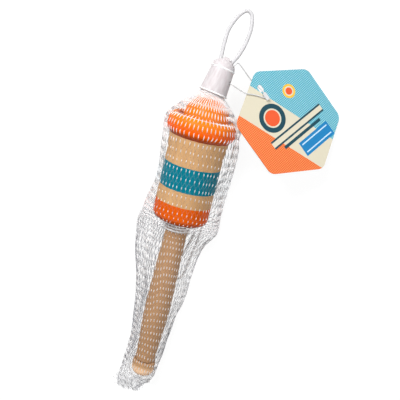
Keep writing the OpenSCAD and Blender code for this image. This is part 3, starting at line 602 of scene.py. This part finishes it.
def bag_table(y):
    """Each column of the table at y, by the cubic whose slopes are the table's own central
    differences."""
    at = -BAG[:, 0]
    y = np.clip(-np.asarray(y, float), at[0], at[-1])
    k = np.clip(np.searchsorted(at, y, side="right") - 1, 0, len(at) - 2)
    slope = np.gradient(BAG[:, 1:], at, axis=0)
    h = (at[k + 1] - at[k])[:, None]
    t = ((y - at[k])[:, None]) / h
    p, q = BAG[k, 1:], BAG[k + 1, 1:]
    curve = ((2 * t**3 - 3 * t**2 + 1) * p + (t**3 - 2 * t**2 + t) * h * slope[k]
             + (3 * t**2 - 2 * t**3) * q + (t**3 - t**2) * h * slope[k + 1])
    low, high = np.minimum(p, q), np.maximum(p, q)
    return np.clip(curve, low - 0.3, high + 0.3).T


def toy_radius(y):
    """The radius of the wood inside the bag: ball, rim, body, rounded base, handle, pommel."""
    s = 7.73 - np.asarray(y, float)
    ball = np.sqrt(np.maximum(BALL_R**2 - (np.asarray(y, float) - BALL_AT[1]) ** 2, 0))
    wood = np.interp(s, [0, 6, 8, 12, 28, 64, 69.5, 70, 134, 168, 173, 175, 180, 184, 185],
                     [22, 22, 21.9, 19.1, 18.3, 18.2, 14, 7.3, 8.6, 7.1, 6.9, 7.8, 7.4, 3, 0])
    return np.where(s < 0, ball, wood)


INSIDE = 0.35
RING = 361
MOUTH_R, MOUTH_TAPER = 7.4, 0.083
MIDDLE_X = 0.3


def bag_sections(y):
    """Rings across the bag at each y: x is the reach times cos a to a power, z the height over or
    under the widest line times sin a to a power, a little inside the bag's skin."""
    left, right, top, belly, low, up_power, low_power, fall = bag_table(y)[:, :, None]
    a = np.linspace(0, 2 * np.pi, RING)[None, :]
    c, s = np.cos(a), np.sin(a)
    reach = np.where(c > 0, right - INSIDE, left - INSIDE) * np.sign(c)
    x = reach * np.abs(c) ** np.where(s > 0, up_power, low_power)
    over = belly + (top - INSIDE - belly) * np.abs(s) ** fall
    under = belly - (belly - low) * np.abs(s) ** low_power
    z = np.where(s >= 0, over, under)
    return x, np.repeat(np.asarray(y, float)[:, None], RING, 1), np.maximum(z, INSIDE)


WALES = 62
rng = np.random.default_rng(7)
FOLD = rng.uniform(0, 2 * np.pi, (3, 6))


def bag_points(share, y):
    """Points of the net at a share of the way round and a place along. The share is measured
    along each ring, closer where the net is slack. There it ripples too: sums of long waves."""
    share, y = np.broadcast_arrays(np.asarray(share, float), np.asarray(y, float))
    flat_y, which = np.unique(y.ravel().round(4), return_inverse=True)
    which = which.reshape(y.shape)
    rx, ry, rz = bag_sections(flat_y)
    step = np.hypot(np.diff(rx, axis=1), np.diff(rz, axis=1))
    gap = np.hypot(rx, rz - LIE_RISE - ry * math.tan(LIE_TILT)) - toy_radius(ry)
    crowd = np.interp(-ry, [60, 75, 105, 135, 160], [0.5, 0.1, 0.1, 0.9, 1.2])
    step *= 1 + (crowd * straight(gap, 2, 6))[:, 1:]
    length = np.concatenate([np.zeros((len(flat_y), 1)), np.cumsum(step, 1)], 1)
    quarter = length[:, RING // 4] / length[:, -1]
    out = np.zeros(share.shape + (3,))
    for k in range(len(flat_y)):
        chosen = which == k
        at = ((share[chosen] + quarter[k]) % 1.0) * length[k, -1]
        out[chosen, 0] = np.interp(at, length[k], rx[k])
        out[chosen, 1] = ry[k, 0]
        out[chosen, 2] = np.interp(at, length[k], rz[k])
    middle = LIE_RISE + out[..., 1] * math.tan(LIE_TILT)
    away = np.hypot(out[..., 0], out[..., 2] - middle) - toy_radius(out[..., 1]) - 1.2
    slack = straight(away, 0, 5) * straight(out[..., 1], 16, 4)
    u, v = share * 2 * np.pi, out[..., 1] / 10
    waves = [0.9 * np.sin(5 * u + 1.1 * v + f[0]) + 0.7 * np.sin(11 * u - 0.8 * v + f[1])
             + 0.6 * np.sin(3 * u + 2.2 * v + f[2]) + 0.5 * np.sin(14 * u + 1.7 * v + f[3]) for f in FOLD]
    inward = -np.sign(out[..., 0])
    out[..., 0] += slack * inward * (0.6 + 0.5 * waves[0])
    out[..., 1] += slack * 0.35 * waves[1]
    lift = slack * 0.5 * waves[2] * np.where(out[..., 2] > 1.5, 1, 0.3)
    out[..., 2] = np.clip(out[..., 2] + lift, 0.25, 46)
    return out


def gathered(share, up):
    """The net inside the header's mouth: circles with small ripples, whose radius falls by the
    taper times the place up the header's axis."""
    a = 2 * np.pi * (share + 0.25)
    up = np.asarray(up, float)
    r = MOUTH_R - MOUTH_TAPER * up + 0.08 * np.sin(23 * a)
    return header_point(np.stack([r * np.cos(a), -r * np.sin(a), up + 0 * a], -1))


SAG, SAG_SHARE = 1.0, 0.05
DRAG, DRAG_AT, DRAG_REACH, TAIL_DRAG = 2.0, -112, 24, 1.2


def net_points(share, v):
    """The whole net: v counts courses from the header; the first few are gathered in it and the
    next ones spread from the header's rings to the bag's. Over the handle the courses sag in
    bows, as a bell of the place across, and drag to one side half way down and at the tail, as
    hyperbolic tangents of it."""
    share, v = np.broadcast_arrays(np.asarray(share, float), np.asarray(v, float))
    y = np.interp(v, COURSES_AT, COURSES_Y)
    side = ((share + 0.5) % 1.0 - 0.5) / SAG_SHARE
    dragged = DRAG * np.exp(-((y - DRAG_AT) / DRAG_REACH) ** 2) * (1 + np.tanh(3 * side - 1.5))
    dragged -= TAIL_DRAG * np.tanh(side) * smooth(y, -142, -154)
    y = y - smooth(y, -70, -84) * smooth(y, -192, -172) * (SAG - SAG * np.exp(-side**2) + dragged)
    up = np.interp(v, [0, 2.0, 3.0], [5.5, 0.3, -2.6])
    body = bag_points(share, np.minimum(y, 20.2))
    head = gathered(share, up)
    w = smooth(v, 2.0, 3.6)[..., None]
    return head * (1 - w) + body * w


# Courses of stitches along the net, at most 5.7 mm apart, and closer where it bunches under the cup.
course_y = [30.0, 26.0, 22.6, 18.6]
course_gap = [(12, 3.9), (5, 4.3), (0, 4.8), (-53, 5.7), (-59, 3.2), (-68, 1.6), (-76, 3.6), (-188, 4.8)]
while course_y[-1] > -188:
    gap = next(g for limit, g in course_gap if course_y[-1] > limit)
    course_y.append(course_y[-1] - gap)
COURSES_Y = np.array(course_y[:-1] + [-191.0, -194.2])
COURSES = len(COURSES_Y)
COURSES_AT = np.arange(COURSES, dtype=float)

# Each stitch's share of the way round, half a wale over in every other course and a little uneven.
UNEVEN = 0.0008
course = np.arange(COURSES)[:, None]
wale = np.arange(WALES)[None, :]
stitch_share = (wale + 0.5 * (course % 2)) / WALES + rng.uniform(-UNEVEN, UNEVEN, (COURSES, WALES))


def spindle(path, widths, flat, sides, lift):
    """Many small tubes at once: path is (pieces, rings, 3). Each ring is an ellipse across the
    path, its half width from widths and its half thickness flat times that. It is lifted off
    the path, away from a line inside the bag, 0.6 of the way up to the toy's axis."""
    ahead = np.gradient(path, axis=1)
    ahead /= np.maximum(np.linalg.norm(ahead, axis=2, keepdims=True), 1e-9)
    out = path - np.stack([0 * path[..., 0], path[..., 1], LIE_RISE * 0.6 + 0 * path[..., 2]], -1)
    out -= (out * ahead).sum(-1, keepdims=True) * ahead
    out /= np.maximum(np.linalg.norm(out, axis=2, keepdims=True), 1e-9)
    side = np.cross(ahead, out)
    a = np.arange(sides) * 2 * np.pi / sides
    w = np.broadcast_to(widths, path.shape[:2])[:, :, None, None]
    rings = (path[:, :, None, :] + lift * out[:, :, None, :]
             + w * np.cos(a)[None, None, :, None] * side[:, :, None, :]
             + w * flat * np.sin(a)[None, None, :, None] * out[:, :, None, :])
    return rings


def many(name, rings, body):
    """One piece from many small tubes of equal ring and side counts, closed by their end rings."""
    count, rows, columns = rings.shape[:3]
    i = np.arange(rows - 1)[:, None]
    k = np.arange(columns)[None, :]
    a, b = i * columns + k, i * columns + (k + 1) % columns
    quads = np.stack([a, b, b + columns, a + columns], -1).reshape(-1, 4)
    starts = np.arange(count)[:, None, None] * rows * columns
    faces = (quads[None] + starts).reshape(-1, 4).tolist()
    low = (np.arange(columns)[::-1][None] + starts[:, 0]).tolist()
    high = (np.arange(columns)[None] + (rows - 1) * columns + starts[:, 0]).tolist()
    return new_mesh(name, rings.reshape(-1, 3), faces + low + high, body)


def looseness(points):
    """0 where the net lies over or under the wood, 1 from 0.9 mm beside it."""
    x, y = points[..., 0], points[..., 1]
    return straight(np.abs(x - MIDDLE_X) - toy_radius(y), -0.2, 0.9)


# The stitches: one white dash at each, with more between the rows gathered under the header and a
# last row drawn tight across the cup's mouth. They are widest in the slack net's upper side, and
# thinner close beside the handle and under the ball. Half lengths are in courses, by the row.
DASH_ROWS, DASH_HALVES = [0, 4, 7, 8, 10], [0.48, 0.38, 0.33, 0.25, 0.15]
LONGER_LOOSE, LONGER_ON_HANDLE, WIDER_LOOSE = 0.2, 0.07, 0.27
span = np.linspace(-1, 1, 4)
rows = np.arange(1, COURSES - 1)[:, None]
at_stitch = looseness(net_points(stitch_share[rows, wale], rows + 0 * wale))
dash_half = np.interp(rows, DASH_ROWS, DASH_HALVES) + LONGER_LOOSE * at_stitch * (rows > 7)
dash_half += LONGER_ON_HANDLE * (COURSES_Y[rows] < -74) * (1 - at_stitch)
dash_v = rows[:, :, None] + dash_half[:, :, None] * span
dashes = net_points(stitch_share[rows, wale][:, :, None], dash_v).reshape(-1, 4, 3)
between_v = (course[1:4, :, None] + 0.5) + 0.45 * span
between = net_points(stitch_share[1:4, :, None], between_v).reshape(-1, 4, 3)
drawn = net_points((wale[0][:, None] + np.linspace(0, 1, 4)) / WALES, 5.9)
drawn = drawn[drawn[:, 0, 2] > 20]
dash_path = np.concatenate([dashes, between, drawn])
x, y, z = np.moveaxis(dash_path, -1, 0)
dash_width = np.interp(-y, [-24, -8, -2, 5], [0.27, 0.33, 0.33, 0.3])
dash_width += WIDER_LOOSE * looseness(dash_path) * np.clip((z - 6) / 5, -0.5, 1) * (y < 5)
beside = np.abs(x - MIDDLE_X) - toy_radius(y) - 2.5
dash_width *= 1 - 0.6 * np.exp(-(beside / 2.2) ** 2) * (y < -66)
dash_width[(y > 12) & (z < 18)] *= 0.7
dash_width[-len(drawn):] *= np.interp(drawn[..., 0], [6, 12, 16, 19], [0.55, 1.3, 1.3, 0.5])
dash_width *= np.array([0.45, 1, 1, 0.45])
stitches = many("net_stitches", spindle(dash_path, dash_width, 0.6, 6, 0.1), "pack")

# The filaments: two leave each stitch and run to its neighbours in the next course. They nearly
# vanish over the wood, and are widest in the slack net's underside.
FINE_STRAND, LOOSE_STRAND = 0.055, 0.17
span = np.linspace(0, 1, 4)
bend = smooth(span, 0.12, 0.88)
rows = np.arange(3, COURSES - 1)[:, None]
here = stitch_share[3:-1, :, None]
strand_paths = []
for way in (0, 1):
    shift = (wale + way - 1 + rows % 2) % WALES
    turn = (stitch_share[rows + 1, shift][:, :, None] - here + 0.5) % 1.0 - 0.5
    strand_paths.append(net_points(here + turn * bend, rows[:, :, None] + span).reshape(-1, 4, 3))
strand_path = np.concatenate(strand_paths)
x, y, z = np.moveaxis(strand_path, -1, 0)
thinning = 1 - 0.82 * smooth(y, -168, -182)
thinning *= 1 - 0.6 * straight(x, 5, 10) * (y < -62)
thinning *= 1 - 0.4 * smooth(y, -66, -58)
loose = np.interp(z, [5, 11], [1.9, 0.7]) * looseness(strand_path) * thinning
strand_width = FINE_STRAND + LOOSE_STRAND * loose
filaments = many("net_filaments", spindle(strand_path, strand_width, 0.8, 4, 0.0), "pack")


def curl(y, side, size, turn):
    """One loose loop of filament at the bag's cut end: a squashed ring lying on the others."""
    t = np.arange(20) * 2 * np.pi / 20
    x = side + size * np.cos(t + turn)
    along_bag = y + 0.8 * size * np.sin(t + turn) * math.cos(turn)
    return np.stack([x, along_bag, 1.2 + 1.1 * size * (1 + 0.6 * np.sin(t + 2 * turn)) / 2], -1)


CURLS, CURL_STRAND = 20, 0.17
curls = [tube(curl(rng.uniform(-196, -186), rng.uniform(-17, 2), rng.uniform(1.2, 2.6), turn), CURL_STRAND, 5)
         for turn in rng.uniform(0, 2 * np.pi, CURLS)]
ragged_end = joined("net_end_loops", curls, "pack")
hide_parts("net_bag")
clear = Finish("clear_filament", (0.38, 0.38, 0.4), 0.35, Specular_IOR_Level=0.3, Alpha=0.42)
clear.on(filaments)
grey = Finish("end_filament", (0.92, 0.92, 0.94), 0.35, Alpha=0.5)
grey.on(ragged_end)
white = Finish("white_stitch", (0.85, 0.85, 0.86), 0.4, Specular_IOR_Level=0.3, Alpha=0.88,
               Subsurface_Weight=0.7, Subsurface_Scale=0.002)
white.shader.inputs["Subsurface Radius"].default_value = (1, 1, 1)
white.on(stitches)
# Clear filament casts next to no shadow.
filaments.visible_shadow = stitches.visible_shadow = False

# The header, moulded in milky polythene over the gathered net: a tapered skirt with a ridge ring at
# each edge, a dome with a block between the loop's legs, and a plug that jams the net inside.
milky = Finish("milky_polythene", (0.78, 0.74, 0.75), 0.4, Specular_IOR_Level=0.3, Subsurface_Weight=0.6,
               Alpha=0.93)
milky.shader.inputs["Subsurface Radius"].default_value = (0.004, 0.004, 0.004)
FOLD_STRETCH, RIDGES, RIDGE_HALF = 6.0, (0.0004, 0.0163), 0.0006
up_header = milky.place(tuple(HEADER_AT * MM), (HEADER_LEAN, 0, -HEADER_YAW), (1, 1, FOLD_STRETCH))
folds = milky.noise(up_header, 900, 3)
skirt = milky.ramp(folds, [(0.3, (0.62, 0.56, 0.57)), (0.62, (0.7, 0.66, 0.67))])
rise = milky.math("MULTIPLY", milky.axes(up_header)[2], FOLD_STRETCH)
# Painted highlight: the two ridge rings are painted near white, where their rounded edges catch the light.
for ridge in RIDGES:
    away = milky.math("ABSOLUTE", milky.math("SUBTRACT", rise, ridge))
    ridge_highlight = milky.math("LESS_THAN", away, RIDGE_HALF)
    skirt = milky.mix(ridge_highlight, skirt, (0.95, 0.94, 0.95))
milky.feed("Base Color", skirt)
milky.bump(folds, 0.08, 0.0002)
milky.on(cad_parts["header_cap"])
plug = Finish("plug_polythene", (0.55, 0.5, 0.52), 0.5)
plug.on(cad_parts["header_plug"])

# The hanging loop, a soft white moulding: two legs with feet inside the dome and a pear-shaped eye
# that droops a little under its own weight.
LEG_OUT, EYE_HALF, EYE_L, EYE_LOW, DROOP = 3.75, 6.5, 34.6, 20.3, 0.045
LOOP_R, FOOT_R, FOOT_LOW, FOOT_HIGH = 1.2, 1.6, 17.5, 18.7
LOOP_SIDES = np.array([-0.8, -0.92, -0.62, -0.16, 0.28, 0.72, 1.03, 1.06, 0.86])
LOOP_RISES = np.array([0.29, 0.56, 0.81, 0.96, 0.985, 0.9, 0.69, 0.42, 0.19])
loop_eye = np.stack([EYE_HALF * LOOP_SIDES, DROOP * EYE_L * LOOP_RISES, EYE_LOW + EYE_L * LOOP_RISES], -1)
leg = np.array([[LEG_OUT, 0, EYE_LOW + 1.6], [LEG_OUT, 0, EYE_LOW], [LEG_OUT, 0, FOOT_HIGH - 0.5]])
loop_path = header_point(smooth_path(np.concatenate([leg[::-1] * [-1, 1, 1], loop_eye, leg]), 8))
t = np.arange(16) * np.pi / 8
feet = [header_point(np.stack([x + FOOT_R * np.cos(t), FOOT_R * np.sin(t), 0 * t + z], -1))
        for x in (-LEG_OUT, LEG_OUT) for z in (FOOT_LOW, FOOT_HIGH)]
hanging_loop = joined("soft_loop", [tube(loop_path, LOOP_R, 20), np.stack(feet[:2]), np.stack(feet[2:])],
                      "pack")
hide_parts("hanging_loop")
soft = Finish("soft_white", (0.6, 0.59, 0.6), 0.5, Specular_IOR_Level=0.3)
soft.on(hanging_loop)

# The tag, satin card printed on its front and plain on its back, with a plain generic pattern: a
# field of teal dots, an orange dotted corner, a roundel, two bars, a block and a small sun.
TAG_AT = (0.052597, 0.0177, 0.016767)
TAG_TURN = (0, math.radians(30), math.radians(50))
CARD_FRONT = 0.25
card = Finish("printed_card", (0.9, 0.85, 0.7), 0.45, Specular_IOR_Level=0.3)
on_card = card.place(TAG_AT, TAG_TURN)
card_x, card_y, card_z = card.axes(on_card)


def within(value, low, high):
    """One where a value in metres lies between two limits in millimetres, else nought."""
    middle, half = (low + high) / 2 * MM, (high - low) / 2 * MM
    return card.math("LESS_THAN", card.math("ABSOLUTE", card.math("SUBTRACT", value, middle)), half)


def disc(x, y, radius):
    """One inside a circle of the card, else nought."""
    middle = (x * MM, y * MM, CARD_FRONT * MM)
    away = card.node("ShaderNodeVectorMath", {0: on_card, 1: middle}, operation="DISTANCE")
    return card.math("LESS_THAN", away.outputs["Value"], radius * MM)


def both(a, b):
    """The product of two masks, one where both are one."""
    return card.math("MULTIPLY", a, b)


DOT_PITCH = 2.3
wave = 2 * math.pi / (DOT_PITCH * MM)
dots = both(card.math("COSINE", card.math("MULTIPLY", card.math("ADD", card_x, card_y), wave)),
            card.math("COSINE", card.math("MULTIPLY", card.math("SUBTRACT", card_x, card_y), wave)))
dots = card.math("GREATER_THAN", dots, -0.1)
CREAM, INK, BLUE = (0.66, 0.61, 0.47), (0.012, 0.06, 0.085), (0.012, 0.2, 0.46)
RED, GOLD, PALE_BLUE = (0.75, 0.1, 0.03), (0.82, 0.5, 0.05), (0.5, 0.7, 0.85)
SKY, SKY_DOT = (0.33, 0.60, 0.66), (0.045, 0.33, 0.44)
FLAME, FLAME_DOT = (0.83, 0.30, 0.10), (0.72, 0.10, 0.02)
sloped = card.math("ADD", card_x, card.math("MULTIPLY", card_y, 0.45))
print_ink = card.mix(within(sloped, 6, 60), CREAM, card.mix(dots, SKY, SKY_DOT))
print_ink = card.mix(within(sloped, -60, -17), print_ink, card.mix(dots, FLAME, FLAME_DOT))
for x, y, radius, ink in ((-9, 8, 10.2, CREAM), (-9, 8, 9.3, INK), (-9, 8, 6.2, CREAM), (-9, 8, 5.2, RED),
                          (12, 15, 4.6, GOLD), (12, 15, 3.2, CREAM), (12, 15, 2.4, RED)):
    print_ink = card.mix(disc(x, y, radius), print_ink, ink)
for left, right, low, high, ink in ((-20, 25, -8.8, -3.2, INK), (-20, 25, -7.6, -4.4, CREAM),
                                    (-14, 19, -12.6, -10.6, INK), (-4, 22, -25, -15, BLUE),
                                    (-2.5, 20.5, -17.6, -16.8, PALE_BLUE),
                                    (-2.5, 20.5, -23.2, -22.4, PALE_BLUE)):
    print_ink = card.mix(both(within(card_x, left, right), within(card_y, low, high)), print_ink, ink)
card.feed("Base Color", card.mix(card.math("GREATER_THAN", card_z, 0.0), (0.80, 0.76, 0.66), print_ink))
card.on(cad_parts["tag"])

# The fastener, clear nylon: a thin strand from the header over the front of the tag and through its
# hole, with a square lock.
nylon = Finish("clear_nylon", (0.72, 0.72, 0.72), 0.25, Alpha=0.85)
nylon.on(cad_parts["tag_loop"])
